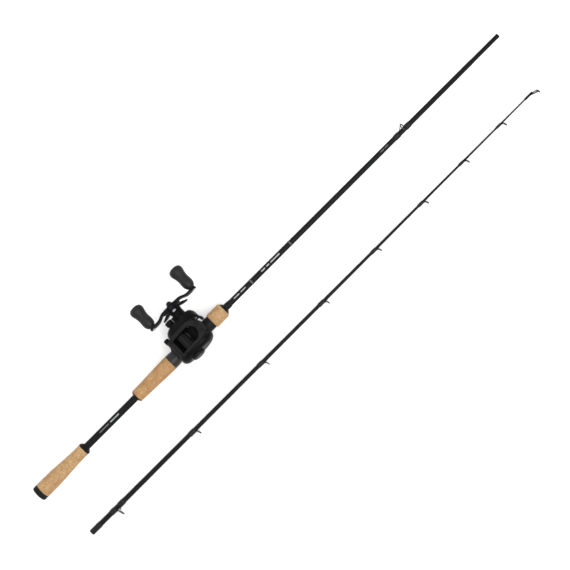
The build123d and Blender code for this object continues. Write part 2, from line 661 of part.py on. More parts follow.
def handle_side_plate():
    """Gear cover: domed shell with a boss for the drive shaft and one for the spool shaft."""
    face = GEAR_COVER_FACE
    shell = domed(GEAR_COVER_OUTLINE, GEAR_COVER_CENTRE,
                  [(WALL_OUTSIDE, 0, 0), (26, 0.2, 0), (30.5, 1.6, 0.4), (34.3, 5.2, 1.4), (face, 11.5, 3)])
    shell -= domed(GEAR_COVER_OUTLINE, GEAR_COVER_CENTRE,
                   [(WALL_OUTSIDE - 0.5, SHELL_WALL, 0), (26, 1.9, 0), (29.5, 2.9, 0.3),
                    (32.8, 6.6, 1.3), (34.8, 11.8, 2.8)])
    for x, z in COVER_SCREWS:
        shell += tube_y(x, z, WALL_OUTSIDE, WALL_OUTSIDE + 2.7, 5.4) & domed(
            GEAR_COVER_OUTLINE, GEAR_COVER_CENTRE, [(WALL_OUTSIDE, 0.5, 0), (WALL_OUTSIDE + 3, 0.5, 0)])
    boss = turned([(34.9, 0), (34.9, BOSS_RADIUS + 2), (face + 1.6, BOSS_RADIUS),
                   (BOSS_FACE - 0.8, BOSS_RADIUS), (BOSS_FACE, BOSS_RADIUS - 0.8), (BOSS_FACE, 0)])
    shell += to_y(boss, DRIVE_X, DRIVE_Z)
    shell += tube_y(SPOOL_X, SPOOL_Z, 35.2, 43.5, SPOOL_BOSS_RADIUS)
    web_start = SPOOL_X + TENSION_KNOB_RADIUS + 0.4
    shell += block((web_start, DRIVE_X - BOSS_RADIUS + 2), (35.2, 46.4), (DRIVE_Z - 5, DRIVE_Z + 6))
    shell -= tube_y(DRIVE_X, DRIVE_Z, 34, BOSS_FACE + 1, 4.2)
    shell -= tube_y(DRIVE_X, DRIVE_Z, ONE_WAY_START, ONE_WAY_END, ONE_WAY_RADIUS)
    shell -= tube_y(SPOOL_X, SPOOL_Z, LEFT_BEARING_START, 44, LEFT_BEARING_RADIUS)
    shell -= tube_y(SPOOL_X, SPOOL_Z, 34, 44, 2.2)
    for x, z in COVER_SCREWS:
        shell -= tube_y(x, z, WALL_OUTSIDE - 1, WALL_OUTSIDE + 2.5, COVER_SCREW_RADIUS)
    return shell


def palm_side_plate():
    """Palm cover: domed shell with a bearing boss inside."""
    outline = narrowed(PALM_OUTLINE, -WALL_OUTSIDE)
    centre = (366, 26)
    shell = domed(outline, centre, [(-WALL_OUTSIDE - 0.05, 0, 0), (-23.5, 0.8, 0), (-26.5, 3.2, -0.4),
                                    (-29, 7.4, -1), (PALM_FACE, 12, -1.6)])
    shell -= domed(outline, centre, [(-WALL_OUTSIDE + 0.5, SHELL_WALL, 0), (-23.2, 2.6, 0),
                                     (-25.6, 5, -0.4), (-27.6, 8.8, -1), (-28.6, 12.5, -1.6)])
    shell += tube_y(SPOOL_X, SPOOL_Z, -29.5, -WALL_OUTSIDE, 6.5)
    screw_boss = tube_y(SCREW_X, SCREW_Z, -25.5, -WALL_OUTSIDE - 0.05, 3.6)
    shell += screw_boss & domed(outline, centre, [(-26, 2.6, 0), (-WALL_OUTSIDE, 0.4, 0)])
    shell -= tube_y(SPOOL_X, SPOOL_Z, -33, -19, 4 + RUNNING_GAP)
    shell -= tube_y(SPOOL_X, SPOOL_Z, RIGHT_BEARING_START, -19, RIGHT_BEARING_RADIUS)
    shell -= tube_y(SCREW_X, SCREW_Z, -24.3, -19, THUMB_SCREW_RADIUS + RUNNING_GAP)
    return shell


def palm_plate_screw():
    """Knurled thumb screw on the handle side whose shank reaches the palm plate."""
    base = WALL_OUTSIDE + 0.1
    head = to_y(turned([(base, 0), (base, 4.6), (27.6, 5), (28.6, 4.2), (28.6, 0)]), SCREW_X, SCREW_Z)
    head = scalloped(head, SCREW_X, SCREW_Z, WALL_OUTSIDE + 1.5, 29, 5.3, 16, 0.6)
    return head + tube_y(SCREW_X, SCREW_Z, -24, WALL_OUTSIDE + 1, THUMB_SCREW_RADIUS)


# ---- reel: bearings ----
def bearing(x, z, start, end, outer, bore):
    """Plain-looking sealed bearing with a shallow groove in each face."""
    ring = tube_y(x, z, start, end, outer, bore)
    middle = (outer + bore) / 2
    for low, high in ((start - 1, start + 0.25), (end - 0.25, end + 1)):
        ring -= tube_y(x, z, low, high, middle + 0.5, middle - 0.5)
    return ring


def drive_shaft_bearing():
    bore = DRIVE_SHAFT_RADIUS + RUNNING_GAP
    return bearing(DRIVE_X, DRIVE_Z, WALL_INSIDE, WALL_OUTSIDE, DRIVE_BEARING_RADIUS, bore)


def one_way_bearing():
    bore = DRIVE_SHAFT_RADIUS + RUNNING_GAP
    return bearing(DRIVE_X, DRIVE_Z, ONE_WAY_START, ONE_WAY_END, ONE_WAY_RADIUS, bore)


def spool_bearing_left():
    bore = SPOOL_SHAFT_RADIUS + RUNNING_GAP
    return bearing(SPOOL_X, SPOOL_Z, LEFT_BEARING_START, LEFT_BEARING_END, LEFT_BEARING_RADIUS, bore)


def spool_bearing_right():
    bore = SPOOL_SHAFT_RADIUS + RUNNING_GAP
    return bearing(SPOOL_X, SPOOL_Z, RIGHT_BEARING_START, RIGHT_BEARING_END, RIGHT_BEARING_RADIUS, bore)


# ---- reel: spool, clutch and level wind ----
def spool():
    width = SPOOL_HALF_WIDTH
    rim = SPOOL_RADIUS
    drum = 12.4
    outline = [(-width, rim), (-width, rim - 1.2), (-width + 2.2, 11.2), (-5, 10.8),
               (-5, SPOOL_SHAFT_RADIUS), (5, SPOOL_SHAFT_RADIUS), (5, 10.8), (width - 2.2, 11.2),
               (width, rim - 1.2), (width, rim), (width - 1.3, rim), (width - 3, drum),
               (-width + 3, drum), (-width + 1.3, rim)]
    body = to_y(turned(outline), SPOOL_X, SPOOL_Z)
    for step in range(6):
        angle = radians(60 * step)
        body -= tube_y(SPOOL_X + 5.2 * cos(angle), SPOOL_Z + 5.2 * sin(angle), -6, 6, 1.5)
    return body


def spool_shaft():
    return tube_y(SPOOL_X, SPOOL_Z, -22.8, 44.6, SPOOL_SHAFT_RADIUS)


def pinion_gear():
    mesh = direction(SPOOL_X, SPOOL_Z, DRIVE_X, DRIVE_Z) + 180 / PINION_TEETH
    bore = SPOOL_SHAFT_RADIUS + RUNNING_GAP
    teeth = gear(PINION_TEETH, SPOOL_X, SPOOL_Z, 21.5, 30, bore, mesh)
    neck = tube_y(SPOOL_X, SPOOL_Z, 30, 31.6, PINION_NECK_RADIUS, bore)
    return teeth + neck + tube_y(SPOOL_X, SPOOL_Z, 31.6, 32.6, 3.4, bore)


def clutch_yoke():
    """Fork plate that draws the pinion away from the spool."""
    plate = side_prism([(363.2, 23.5), (375.5, 23.5), (375.5, 31.5), (372, 34), (364, 34), (362.2, 30)],
                       30.3, 31.3)
    plate -= tube_y(SPOOL_X, SPOOL_Z, 30, 32, PINION_NECK_RADIUS + RUNNING_GAP)
    return plate - block((SPOOL_X - 2.4, SPOOL_X + 2.4), (30, 32), (20, SPOOL_Z))


def thumb_bar():
    x = THUMB_BAR_X
    pad = side_prism([(x - 2.6, 30.5), (x + 2.3, 30.5), (x + 3.0, 37.2), (x + 1.6, 38.6), (x - 1.4, 38),
                      (x - 2.6, 36.5)], -15.1, 13.1)
    pad = fillet(pad.edges().filter_by(Axis.Y).group_by(Axis.Z)[-1], 0.5)
    return pad + block((x - 1.2, x + 1.2), (-19.4, 19.4), (32.6, 35))


def worm_shaft():
    shaft = tube_y(WORM_X, WORM_Z, -WALL_OUTSIDE + 0.4, 23, WORM_RADIUS)
    for step in range(12):
        y = -13.2 + 2.4 * step
        groove = tube(-0.4, 0.4, 3, WORM_RADIUS - 0.45)
        shaft -= Pos(WORM_X, y, WORM_Z) * Rot(0, 0, 102) * groove
    return shaft


def worm_gear():
    mesh = direction(WORM_X, WORM_Z, DRIVE_X, DRIVE_Z) + 180 / WORM_TEETH
    return gear(WORM_TEETH, WORM_X, WORM_Z, WORM_GEAR_START, WORM_GEAR_END, WORM_RADIUS, mesh)


def guide_rod():
    return tube_y(GUIDE_ROD_X, GUIDE_ROD_Z, -WALL_OUTSIDE, WALL_OUTSIDE, GUIDE_ROD_RADIUS)


def line_guide():
    """Carriage that runs on the worm and the rod, with an eye for the line between them."""
    body = block((WORM_X - 3.6, WORM_X + 3.6), (-3.6, 3.6), (WORM_Z - 2.9, WORM_Z + 4))
    body += Pos(WORM_X, 0, LINE_EYE_Z) * tube(-2, 2, LINE_EYE_RADIUS + 1.3)
    body += block((WORM_X - 1.8, WORM_X + 1.8), (-2.4, 2.4), (LINE_EYE_Z + 4, GUIDE_ROD_Z + 2.1))
    body -= Pos(WORM_X, 0, LINE_EYE_Z) * tube(-5, 5, LINE_EYE_RADIUS)
    body -= tube_y(WORM_X, WORM_Z, -5, 5, WORM_RADIUS + RUNNING_GAP)
    return body - tube_y(GUIDE_ROD_X, GUIDE_ROD_Z, -5, 5, GUIDE_ROD_RADIUS + RUNNING_GAP)


def line_guide_insert():
    inner = LINE_EYE_RADIUS - 1.1
    ring = turned([(-2.4, LINE_EYE_RADIUS), (-2.4, inner + 0.6), (-1.6, inner), (1.6, inner),
                   (2.4, inner + 0.6), (2.4, LINE_EYE_RADIUS)])
    return Pos(WORM_X, 0, LINE_EYE_Z) * ring


# ---- reel: drive train and handle ----
def drive_shaft():
    return tube_y(DRIVE_X, DRIVE_Z, 16.6, 71, DRIVE_SHAFT_RADIUS)


def main_gear():
    mesh = direction(DRIVE_X, DRIVE_Z, SPOOL_X, SPOOL_Z)
    wheel = gear(MAIN_TEETH, DRIVE_X, DRIVE_Z, MAIN_GEAR_START, MAIN_GEAR_END, DRIVE_SHAFT_RADIUS, mesh)
    for step in range(6):
        angle = radians(60 * step)
        x = DRIVE_X + 15 * cos(angle)
        z = DRIVE_Z + 15 * sin(angle)
        wheel -= tube_y(x, z, MAIN_GEAR_START - 1, MAIN_GEAR_END + 1, 1.8)
    return wheel


def worm_drive_gear():
    mesh = direction(DRIVE_X, DRIVE_Z, WORM_X, WORM_Z)
    bore = DRIVE_SHAFT_RADIUS
    return gear(WORM_DRIVE_TEETH, DRIVE_X, DRIVE_Z, WORM_GEAR_START, WORM_GEAR_END, bore, mesh)


def drag_washers():
    """Friction disc and key washer stacked on the main gear."""
    discs = []
    for start, end, radius in ((MAIN_GEAR_END, 28.6, 12.4), (28.7, 29.5, 12), (29.6, 30.4, 11.4)):
        discs.append(tube_y(DRIVE_X, DRIVE_Z, start, end, radius, DRIVE_SHAFT_RADIUS))
    return Compound(children=discs)


def drag_star():
    """Five drooping arms on a hub under the handle."""
    hub = turned([(50, 0), (50, 10.6), (51, 11.4), (59.4, 11.4), (61.4, 9.4), (61.4, 0)])
    hub = to_y(hub, DRIVE_X, DRIVE_Z)
    arm_outline = make_face([Spline((6, 60.8), (13, 60.2), (21, 57.8), (27, 56.0), (STAR_RADIUS, 55.2)),
                             Line((STAR_RADIUS, 55.2), (29.6, 53.6)),
                             Spline((29.6, 53.6), (24, 53.4), (18.5, 54.2), (10, 56.2)),
                             Line((10, 56.2), (6, 56.2)), Line((6, 56.2), (6, 60.8))])
    arm = extrude(arm_outline, amount=3, both=True)
    arm &= side_prism([(5, -4), (12, -3.4), (24, -2.4), (29, -1.9), (30.5, 0), (29, 1.9), (24, 2.4),
                       (12, 3.4), (5, 4)], 48, 63)
    for step in range(5):
        hub += Pos(DRIVE_X, 0, DRIVE_Z) * Rot(0, 18 + 72 * step, 0) * arm
    return hub - tube_y(DRIVE_X, DRIVE_Z, 49, 62, DRIVE_SHAFT_RADIUS + RUNNING_GAP)


def handle_arm():
    """Double handle arm, stepped towards the reel at both ends."""
    end = KNOB_OFFSET + 6
    level = (1, 0)
    path = [Line((-end, ARM_END_Y), (-37, ARM_END_Y)),
            Spline((-37, ARM_END_Y), (-17, ARM_MIDDLE_Y), tangents=[level, level]),
            Line((-17, ARM_MIDDLE_Y), (17, ARM_MIDDLE_Y)),
            Spline((17, ARM_MIDDLE_Y), (37, ARM_END_Y), tangents=[level, level]),
            Line((37, ARM_END_Y), (end, ARM_END_Y))]
    strip = extrude(trace(path, ARM_THICKNESS), amount=7, both=True)
    face = make_face(Spline((-end, 0), (-KNOB_OFFSET, 5.2), (-30, 4.3), (0, 6.8), (30, 4.3),
                            (KNOB_OFFSET, 5.2), (end, 0), (KNOB_OFFSET, -5.2), (30, -4.3), (0, -6.8),
                            (-30, -4.3), (-KNOB_OFFSET, -5.2), periodic=True))
    strip &= Pos(0, 50, 0) * extrude(Plane.XZ * face, amount=20, dir=(0, 1, 0))
    strip = Pos(DRIVE_X, 0, DRIVE_Z) * strip
    strip -= tube_y(DRIVE_X, DRIVE_Z, 50, 70, DRIVE_SHAFT_RADIUS)
    for side in (-1, 1):
        strip -= tube_y(DRIVE_X + side * KNOB_OFFSET, DRIVE_Z, 50, 70, POST_RADIUS)
    return strip


def handle_nut():
    top = 73.6
    low = ARM_MIDDLE_Y + ARM_THICKNESS / 2
    cap = to_y(turned([(low, 0), (low, 7.6), (low + 1, 7.2), (low + 2.6, 5.7), (top - 3, 4.9),
                       (top - 1, 3.6), (top, 1.6), (top, 0)]), DRIVE_X, DRIVE_Z)
    return cap - tube_y(DRIVE_X, DRIVE_Z, 60, 71, DRIVE_SHAFT_RADIUS)


def knob_posts():
    posts = []
    low = ARM_END_Y - ARM_THICKNESS / 2
    for side in (-1, 1):
        x = DRIVE_X + side * KNOB_OFFSET
        post = tube_y(x, DRIVE_Z, low, 102, POST_RADIUS)
        posts.append(post + tube_y(x, DRIVE_Z, low - 1.2, low, 3.4))
    return Compound(children=posts)


def knob(side):
    """Swelling hand knob, free to turn on its post."""
    start = (KNOB_START, 5.6)
    tip = (KNOB_END, 7.2)
    edge = Spline(start, (64.5, 8.1), (68.5, 9.9), (73.5, 10.5), (84, 10.0), (91.5, 11.0), (97.5, 12.5),
                  (101.6, 12.8), (105.6, 11.4), tip)
    ends = [Line(tip, (KNOB_END, 0)), Line((KNOB_END, 0), (KNOB_START, 0)), Line((KNOB_START, 0), start)]
    x = DRIVE_X + side * KNOB_OFFSET
    body = to_y(revolve(make_face([edge] + ends), Axis.X), x, DRIVE_Z)
    body += tube_y(x, DRIVE_Z, 60.5, KNOB_START, 4.4)
    return body - tube_y(x, DRIVE_Z, 60, 102.4, POST_RADIUS + RUNNING_GAP)


def rear_knob():
    return knob(-1)


def front_knob():
    return knob(1)


# ---- reel: adjusters ----
def tension_knob():
    radius = TENSION_KNOB_RADIUS
    cap = to_y(turned([(39.4, 0), (39.4, radius - 0.4), (40, radius), (46, radius), (47, radius - 1.2),
                       (47, 0)]), SPOOL_X, SPOOL_Z)
    cap -= tube_y(SPOOL_X, SPOOL_Z, 39, 45.2, SPOOL_BOSS_RADIUS + RUNNING_GAP)
    return scalloped(cap, SPOOL_X, SPOOL_Z, 40.4, 46, radius + 0.6, 20, 0.9)


def brake_dial():
    dial = to_y(turned([(-35.4, 0), (-35.4, DIAL_RADIUS - 4), (-34.4, DIAL_RADIUS - 1),
                        (-33.4, DIAL_RADIUS), (-30.5, DIAL_RADIUS), (-30.5, 4), (-25.4, 4), (-25.4, 0)]),
                SPOOL_X, SPOOL_Z)
    return scalloped(dial, SPOOL_X, SPOOL_Z, -34.8, -30.5, DIAL_RADIUS + 0.7, 24, 1.1)


def magnet_holder():
    disc = tube_y(SPOOL_X, SPOOL_Z, -25.4, -23.6, 12, 6.5 + RUNNING_GAP)
    for x, z in magnet_places():
        disc -= tube_y(x, z, MAGNET_BACK, -23, MAGNET_RADIUS)
    return disc


def magnet_places():
    places = []
    for step in range(6):
        angle = radians(60 * step + 30)
        places.append((SPOOL_X + MAGNET_CIRCLE * cos(angle), SPOOL_Z + MAGNET_CIRCLE * sin(angle)))
    return places


def brake_magnets():
    magnets = []
    for x, z in magnet_places():
        magnets.append(tube_y(x, z, MAGNET_BACK, MAGNET_BACK + 2, MAGNET_RADIUS))
    return Compound(children=magnets)


PIECES = [
    butt_blank, butt_cap, rear_grip, rear_grip_check, front_grip_check, front_grip, reel_seat,
    blank_sleeve, trim_rings, butt_guide_frame, butt_guide_ring, butt_guide_wraps, moving_hood,
    lock_nut, foregrip_cork, foregrip_check, tip_blank, ferrule_sleeve, stripper_guide_frame,
    stripper_guide_ring, single_foot_frames, single_foot_rings, tip_guide_wraps, tip_top_frame,
    tip_top_ring, reel_foot, reel_frame, front_hood, handle_side_plate, side_plate_screws,
    palm_side_plate, palm_plate_screw, drive_shaft_bearing, one_way_bearing, spool_bearing_left,
    spool_bearing_right, spool, spool_shaft, pinion_gear, clutch_yoke, thumb_bar, worm_shaft,
    worm_gear, guide_rod, line_guide, line_guide_insert, drive_shaft, main_gear, worm_drive_gear,
    drag_washers, drag_star, handle_arm, handle_nut, knob_posts, rear_knob, front_knob, tension_knob,
    brake_dial, magnet_holder, brake_magnets,
]

os.makedirs("parts", exist_ok=True)
for make in PIECES:
    export_step(make(), f"parts/{make.__name__}.step")
    print(make.__name__)
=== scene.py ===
"""Looks for the two-piece casting rod and its left-hand low-profile reel."""
import json
import math

import bpy
from mathutils import Matrix, Vector
from mathutils.bvhtree import BVHTree


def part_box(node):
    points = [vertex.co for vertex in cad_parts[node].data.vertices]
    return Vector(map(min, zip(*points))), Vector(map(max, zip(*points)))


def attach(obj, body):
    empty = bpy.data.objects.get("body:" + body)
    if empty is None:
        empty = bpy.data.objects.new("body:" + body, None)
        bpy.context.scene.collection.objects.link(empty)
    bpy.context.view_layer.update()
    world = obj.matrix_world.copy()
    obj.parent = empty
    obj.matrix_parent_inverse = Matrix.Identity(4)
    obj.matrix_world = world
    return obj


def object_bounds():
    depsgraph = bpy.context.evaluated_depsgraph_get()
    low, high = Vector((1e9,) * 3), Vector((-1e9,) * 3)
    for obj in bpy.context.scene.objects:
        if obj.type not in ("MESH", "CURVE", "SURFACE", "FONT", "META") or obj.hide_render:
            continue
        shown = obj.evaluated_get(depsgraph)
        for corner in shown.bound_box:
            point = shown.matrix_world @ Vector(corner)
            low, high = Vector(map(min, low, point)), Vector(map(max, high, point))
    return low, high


# ---- camera ----
TILT = math.radians(13)
PICTURE_WIDTH = 0.9776
DISTANCE = 2.5
CLIP_END = 20
SENSOR = 36
TARGET = Vector((0.555, -0.0459, 0))

# ---- light: place in metres, size in metres, power in watts ----
WORLD_STRENGTH = 1.0
KEY_LIGHT = ((0.75, -1.0, 1.9), 1.6, 38)
FILL_LIGHT = ((-0.2, 1.3, 1.7), 1.8, 12)
LIGHT_AIM = Vector((0.5, 0, 0))
FLOOR_REACH = 40

# ---- colours, linear ----
CORK_LIGHT = (0.41, 0.272, 0.135, 1)
CORK_MIDDLE = (0.325, 0.196, 0.086, 1)
CORK_WARM = (0.27, 0.14, 0.056, 1)
CORK_DARK = (0.07, 0.028, 0.012, 1)
BLANK = (0.002, 0.002, 0.0023, 1)
BLACK = (0.006, 0.006, 0.0066, 1)
SHELL = (0.0017, 0.0017, 0.0018, 1)
DECK = (0.0078, 0.0079, 0.0083, 1)
SEAT = (0.0058, 0.0056, 0.0054, 1)
KNOB = (0.0036, 0.0036, 0.0038, 1)
CERAMIC = (0.012, 0.012, 0.013, 1)
SILVER = (0.26, 0.265, 0.275, 1)
STEEL = (0.52, 0.52, 0.53, 1)
BRASS = (0.60, 0.42, 0.18, 1)
PLASTIC = (0.006, 0.006, 0.0065, 1)
METAL = (0.004, 0.004, 0.0044, 1)
SPOOL = (0.002, 0.002, 0.0023, 1)
RUBBER = (0.006, 0.006, 0.006, 1)
MAGNET = (0.42, 0.42, 0.44, 1)
PRINT = (0.075, 0.075, 0.078, 1)
FLOOR = (0.90, 0.90, 0.90, 1)
PLAIN_TINT = (1, 1, 1)
WARM_TINT = (0.93, 0.87, 0.8)

# ---- nodes whose tone differs from their material slot's ----
CLOSER_TONES = {
    "front_hood": "reel_frame_paint",
    "moving_hood": "black_plastic",
    "lock_nut": "black_plastic",
    "trim_rings": "faint_print",
    "front_grip": "cork_warm",
    "guide_rod": "black_metal",
    "worm_shaft": "black_metal",
}

# ---- printed bars: start, end, width, bright or faint; all in metres ----
BLANK_BARS = [
    (0.150, 0.173, 0.0020, False),
    (0.176, 0.197, 0.0022, True),
    (0.476, 0.4895, 0.0018, True),
    (0.492, 0.505, 0.0018, True),
    (0.542, 0.552, 0.0022, True),
    (0.5545, 0.562, 0.0022, True),
    (0.5645, 0.587, 0.0022, True),
    (0.832, 0.841, 0.0020, False),
    (0.8425, 0.8515, 0.0020, False),
]
BAR_Y = -0.0005
BAR_STEP = 0.001
BAR_STRIPS = 8
BAR_LEAST_STEPS = 8
PAINT_LIFT = 0.00002
PAINT_DEPTH = 0.00004
HUB_BAR_DEPTH = 0.0017
HUB_BAR_HALF = 0.0035
HUB_BAR_WIDTH = 0.003


# ---- node helpers ----
WAVE_PERIOD = 2 * math.pi / 20  # of a wave texture at a scale of 1


def new_material(name, colour, roughness, gloss=0.3, metallic=0.0, coat=0.0, coat_roughness=0.12):
    """Principled material, its node tree and its shader; gloss is the specular level."""
    material = bpy.data.materials.new(name)
    material.use_nodes = True
    tree = material.node_tree
    shader = tree.nodes["Principled BSDF"]
    shader.inputs["Base Color"].default_value = colour
    shader.inputs["Roughness"].default_value = roughness
    shader.inputs["Metallic"].default_value = metallic
    shader.inputs["Coat Weight"].default_value = coat
    shader.inputs["Coat Roughness"].default_value = coat_roughness
    shader.inputs["Specular IOR Level"].default_value = gloss
    return material, tree, shader


def object_space(tree, scale=(1, 1, 1)):
    """Object coordinates in metres, stretched by scale."""
    coords = tree.nodes.new("ShaderNodeTexCoord")
    mapping = tree.nodes.new("ShaderNodeMapping")
    mapping.inputs["Scale"].default_value = scale
    tree.links.new(coords.outputs["Object"], mapping.inputs["Vector"])
    return mapping.outputs["Vector"]


def noise(tree, space, scale, detail=4.0, roughness=0.55):
    """Noise value of about 1/scale metres."""
    node = tree.nodes.new("ShaderNodeTexNoise")
    node.inputs["Scale"].default_value = scale
    node.inputs["Detail"].default_value = detail
    node.inputs["Roughness"].default_value = roughness
    tree.links.new(space, node.inputs["Vector"])
    return node.outputs["Fac"]


def cells(tree, space, scale, output="Color"):
    """Voronoi cells of about 1/scale metres."""
    node = tree.nodes.new("ShaderNodeTexVoronoi")
    node.inputs["Scale"].default_value = scale
    tree.links.new(space, node.inputs["Vector"])
    return node.outputs[output]


def rings(tree, space, period, distortion=0.0):
    """Bands across X with the given period in metres."""
    node = tree.nodes.new("ShaderNodeTexWave")
    node.wave_type = "BANDS"
    node.bands_direction = "X"
    node.inputs["Scale"].default_value = WAVE_PERIOD / period
    node.inputs["Distortion"].default_value = distortion
    tree.links.new(space, node.inputs["Vector"])
    return node.outputs["Fac"]


def ramp(tree, value, stops):
    """Colour ramp from (position, colour) stops."""
    node = tree.nodes.new("ShaderNodeValToRGB")
    elements = node.color_ramp.elements
    while len(elements) < len(stops):
        elements.new(0.5)
    for element, (position, colour) in zip(elements, stops):
        element.position = position
        element.color = colour
    tree.links.new(value, node.inputs["Fac"])
    return node.outputs["Color"]


def grey(value):
    """Neutral colour of one brightness."""
    return (value, value, value, 1)


def tinted(colour, tint):
    """Colour with its red, green and blue scaled by tint."""
    return tuple(c * t for c, t in zip(colour[:3], tint)) + (1,)


def mixed(tree, factor, first, second):
    """Colour mix; factor is a socket, and each colour is a socket or a value."""
    node = tree.nodes.new("ShaderNodeMix")
    node.data_type = "RGBA"
    tree.links.new(factor, node.inputs["Factor"])
    for socket, colour in ((node.inputs["A"], first), (node.inputs["B"], second)):
        if isinstance(colour, tuple):
            socket.default_value = colour
        else:
            tree.links.new(colour, socket)
    return node.outputs["Result"]


def spread(tree, value, low, high):
    """Map a 0 to 1 value to a range."""
    node = tree.nodes.new("ShaderNodeMapRange")
    node.inputs["To Min"].default_value = low
    node.inputs["To Max"].default_value = high
    tree.links.new(value, node.inputs["Value"])
    return node.outputs["Result"]


def combine(tree, operation, first, second):
    """Math on two sockets, or on a socket and a number."""
    node = tree.nodes.new("ShaderNodeMath")
    node.operation = operation
    tree.links.new(first, node.inputs[0])
    if isinstance(second, (int, float)):
        node.inputs[1].default_value = second
    else:
        tree.links.new(second, node.inputs[1])
    return node.outputs["Value"]


def bump(tree, shader, height, distance, strength=0.5):
    """Bump with the given real depth in metres."""
    node = tree.nodes.new("ShaderNodeBump")
    node.inputs["Strength"].default_value = strength
    node.inputs["Distance"].default_value = distance
    tree.links.new(height, node.inputs["Height"])
    tree.links.new(node.outputs["Normal"], shader.inputs["Normal"])


# ---- materials ----
def cork(name, tint):
    """Sanded cork: granules, warm patches, dark pits and short grain lines; tint scales its colours."""
    light, middle, warm, dark = (tinted(c, tint) for c in (CORK_LIGHT, CORK_MIDDLE, CORK_WARM, CORK_DARK))
    material, tree, shader = new_material(name, middle, 0.78)
    space = object_space(tree)
    long_space = object_space(tree, (1.0, 0.35, 0.35))
    granules = ramp(tree, cells(tree, space, 520), [(0.1, warm), (0.45, middle), (0.8, light)])
    patches = ramp(tree, noise(tree, space, 70, 3), [(0.4, grey(0)), (0.68, grey(0.8))])
    body = mixed(tree, patches, granules, warm)
    fine = ramp(tree, noise(tree, space, 1500, 5, 0.7), [(0.35, grey(0)), (0.7, grey(0.45))])
    body = mixed(tree, fine, body, light)
    pits = ramp(tree, noise(tree, long_space, 650, 3, 0.6), [(0.62, grey(0)), (0.70, grey(1))])
    specks = ramp(tree, noise(tree, space, 1300, 2, 0.5), [(0.66, grey(0)), (0.74, grey(0.8))])
    streaks = ramp(tree, noise(tree, object_space(tree, (0.5, 1.5, 1.5)), 190, 4, 0.65),
                   [(0.63, grey(0)), (0.70, grey(0.55))])
    holes = combine(tree, "MAXIMUM", combine(tree, "MAXIMUM", pits, specks), streaks)
    tree.links.new(mixed(tree, holes, body, dark), shader.inputs["Base Color"])
    height = combine(tree, "SUBTRACT", spread(tree, noise(tree, space, 1500, 5), 0, 0.25), holes)
    bump(tree, shader, height, 0.0003)
    tree.links.new(spread(tree, patches, 0.72, 0.86), shader.inputs["Roughness"])
    return material


def graphite():
    """Dark carbon blank under a satin clear coat, with faint fibres and tape bands."""
    material, tree, shader = new_material("graphite", BLANK, 0.36, 0.1)
    fibres = noise(tree, object_space(tree, (0.04, 1, 1)), 2600, 3)
    bands = rings(tree, object_space(tree, (1, 0.25, 0.25)), 0.006, 0.6)
    tint = ramp(tree, fibres, [(0.35, BLANK), (0.75, grey(0.0065))])
    tree.links.new(tint, shader.inputs["Base Color"])
    tree.links.new(spread(tree, bands, 0.32, 0.44), shader.inputs["Roughness"])
    bump(tree, shader, combine(tree, "ADD", fibres, spread(tree, bands, 0, 0.5)), 0.00002)
    return material


def thread():
    """Wound black thread under clear lacquer."""
    material, tree, shader = new_material("thread", BLACK, 0.34, 0.12, 0.0, 0.08, 0.1)
    space = object_space(tree, (1, 0.06, 0.06))
    turns = rings(tree, space, 0.00032, 0.4)
    tint = ramp(tree, turns, [(0.1, grey(0.003)), (0.9, grey(0.009))])
    tree.links.new(tint, shader.inputs["Base Color"])
    bump(tree, shader, turns, 0.00004)
    return material


def coated(name, colour, roughness, gloss=0.1, metallic=0.0, coat=0.0,
           grain=2800, depth=0.00004, sparkle=1.6):
    """Painted or moulded surface: fine grain, uneven gloss and small tone changes."""
    material, tree, shader = new_material(name, colour, roughness, gloss, metallic, coat)
    space = object_space(tree)
    fine = noise(tree, space, grain, 3, 0.6)
    broad = noise(tree, space, grain / 40, 3)
    lighter = tuple(min(1, c * sparkle) for c in colour[:3]) + (1,)
    darker = tuple(c * 0.7 for c in colour[:3]) + (1,)
    tone = combine(tree, "MULTIPLY", combine(tree, "ADD", fine, broad), 0.5)
    tree.links.new(ramp(tree, tone, [(0.38, darker), (0.62, lighter)]), shader.inputs["Base Color"])
    tree.links.new(spread(tree, broad, roughness - 0.07, roughness + 0.07), shader.inputs["Roughness"])
    bump(tree, shader, fine, depth)
    return material


def machined(name, colour, roughness):
    """Bare metal with fine turning marks and slight tarnish."""
    material, tree, shader = new_material(name, colour, roughness, 0.5, 1.0)
    marks = noise(tree, object_space(tree, (1, 0.1, 1)), 5200, 2)
    tarnish = noise(tree, object_space(tree), 260, 4)
    darker = tuple(c * 0.72 for c in colour[:3]) + (1,)
    tree.links.new(ramp(tree, tarnish, [(0.3, darker), (0.65, colour)]), shader.inputs["Base Color"])
    tree.links.new(spread(tree, marks, roughness - 0.06, roughness + 0.1), shader.inputs["Roughness"])
    bump(tree, shader, marks, 0.000012)
    return material


def woven_fibre():
    """Drag washer: crossed dark fibres."""
    material, tree, shader = new_material("woven_fibre", grey(0.02), 0.6)
    weave = cells(tree, object_space(tree), 1400, "Distance")
    tree.links.new(ramp(tree, weave, [(0.1, grey(0.012)), (0.6, grey(0.05))]), shader.inputs["Base Color"])
    bump(tree, shader, weave, 0.00008)
    return material


